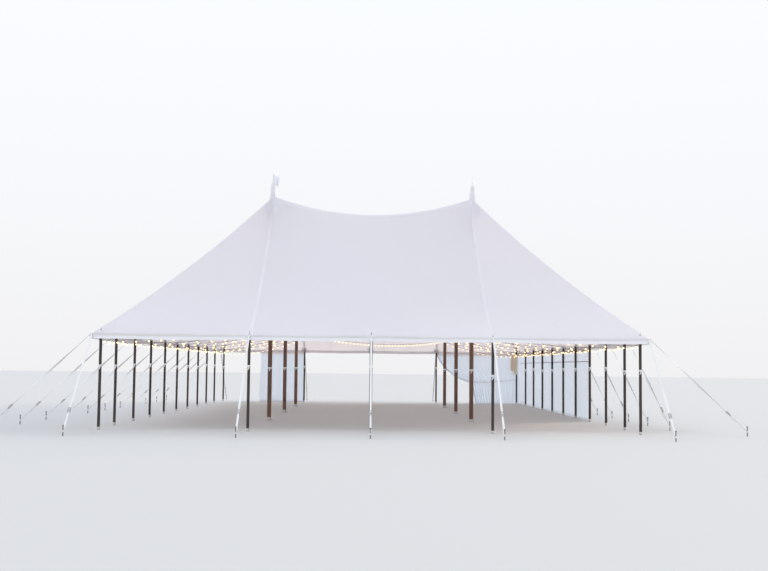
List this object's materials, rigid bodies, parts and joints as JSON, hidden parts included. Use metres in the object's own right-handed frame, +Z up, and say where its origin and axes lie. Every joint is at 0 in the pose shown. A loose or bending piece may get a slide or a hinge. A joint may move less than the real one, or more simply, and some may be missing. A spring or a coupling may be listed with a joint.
{
  "type": "party tent",
  "caption": "Open-fronted sailcloth pole tent with two rows of wooden centre masts, wooden side poles, webbing guys on stakes, cloth walls at the back and one side, and strings of lights.",
  "frame": {"origin": "on the ground under the middle of the roof", "axes": "+X across the tent to the right seen from the open front, +Y along the tent from the open front to the back, +Z up"},
  "size_m": [18.8416, 29.248, 7.4908],
  "materials": {
    "sailcloth": "translucent white sailcloth with sewn seams",
    "wall_cloth": "white wall cloth with light through it",
    "cap_cloth": "white cloth sleeve over the mast head",
    "mast_wood": "oiled brown softwood, satin",
    "pole_wood": "dark brown stained wood, satin",
    "webbing": "off-white woven webbing",
    "light_cable": "black rubber cable of the light strings"
  },
  "bodies": {
    "root": {"mast_front_left": "mast_wood", "mast_front_right": "mast_wood", "mast_mid_left": "mast_wood", "mast_mid_right": "mast_wood", "mast_back_left": "mast_wood", "mast_back_right": "mast_wood", "mast_cap_front_left": "cap_cloth", "mast_cap_front_right": "cap_cloth", "mast_cap_mid_left": "cap_cloth", "mast_cap_mid_right": "cap_cloth", "mast_cap_back_left": "cap_cloth", "mast_cap_back_right": "cap_cloth", "roof_front": "sailcloth", "roof_mid_front": "sailcloth", "roof_mid_back": "sailcloth", "roof_back": "sailcloth", "pole_front_1": "pole_wood", "pole_front_2": "pole_wood", "pole_front_3": "pole_wood", "pole_back_1": "pole_wood", "pole_back_2": "pole_wood", "pole_back_3": "pole_wood", "pole_left_1": "pole_wood", "pole_left_2": "pole_wood", "pole_left_3": "pole_wood", "pole_left_4": "pole_wood", "pole_left_5": "pole_wood", "pole_left_6": "pole_wood", "pole_left_7": "pole_wood", "pole_left_8": "pole_wood", "pole_left_9": "pole_wood", "pole_right_1": "pole_wood", "pole_right_2": "pole_wood", "pole_right_3": "pole_wood", "pole_right_4": "pole_wood", "pole_right_5": "pole_wood", "pole_right_6": "pole_wood", "pole_right_7": "pole_wood", "pole_right_8": "pole_wood", "pole_right_9": "pole_wood", "pole_corner_1": "pole_wood", "pole_corner_2": "pole_wood", "pole_corner_3": "pole_wood", "pole_corner_4": "pole_wood", "guys_front": "webbing", "guys_back": "webbing", "guys_left": "webbing", "guys_right": "webbing", "wall_back_left": "wall_cloth", "wall_back_right": "wall_cloth", "wall_right": "wall_cloth", "lights_left_upper": "light_cable", "lights_left_lower": "light_cable", "lights_left_eave": "light_cable", "lights_right_upper": "light_cable", "lights_right_lower": "light_cable", "lights_right_eave": "light_cable", "lights_middle": "light_cable"}
  },
  "joints": []
}
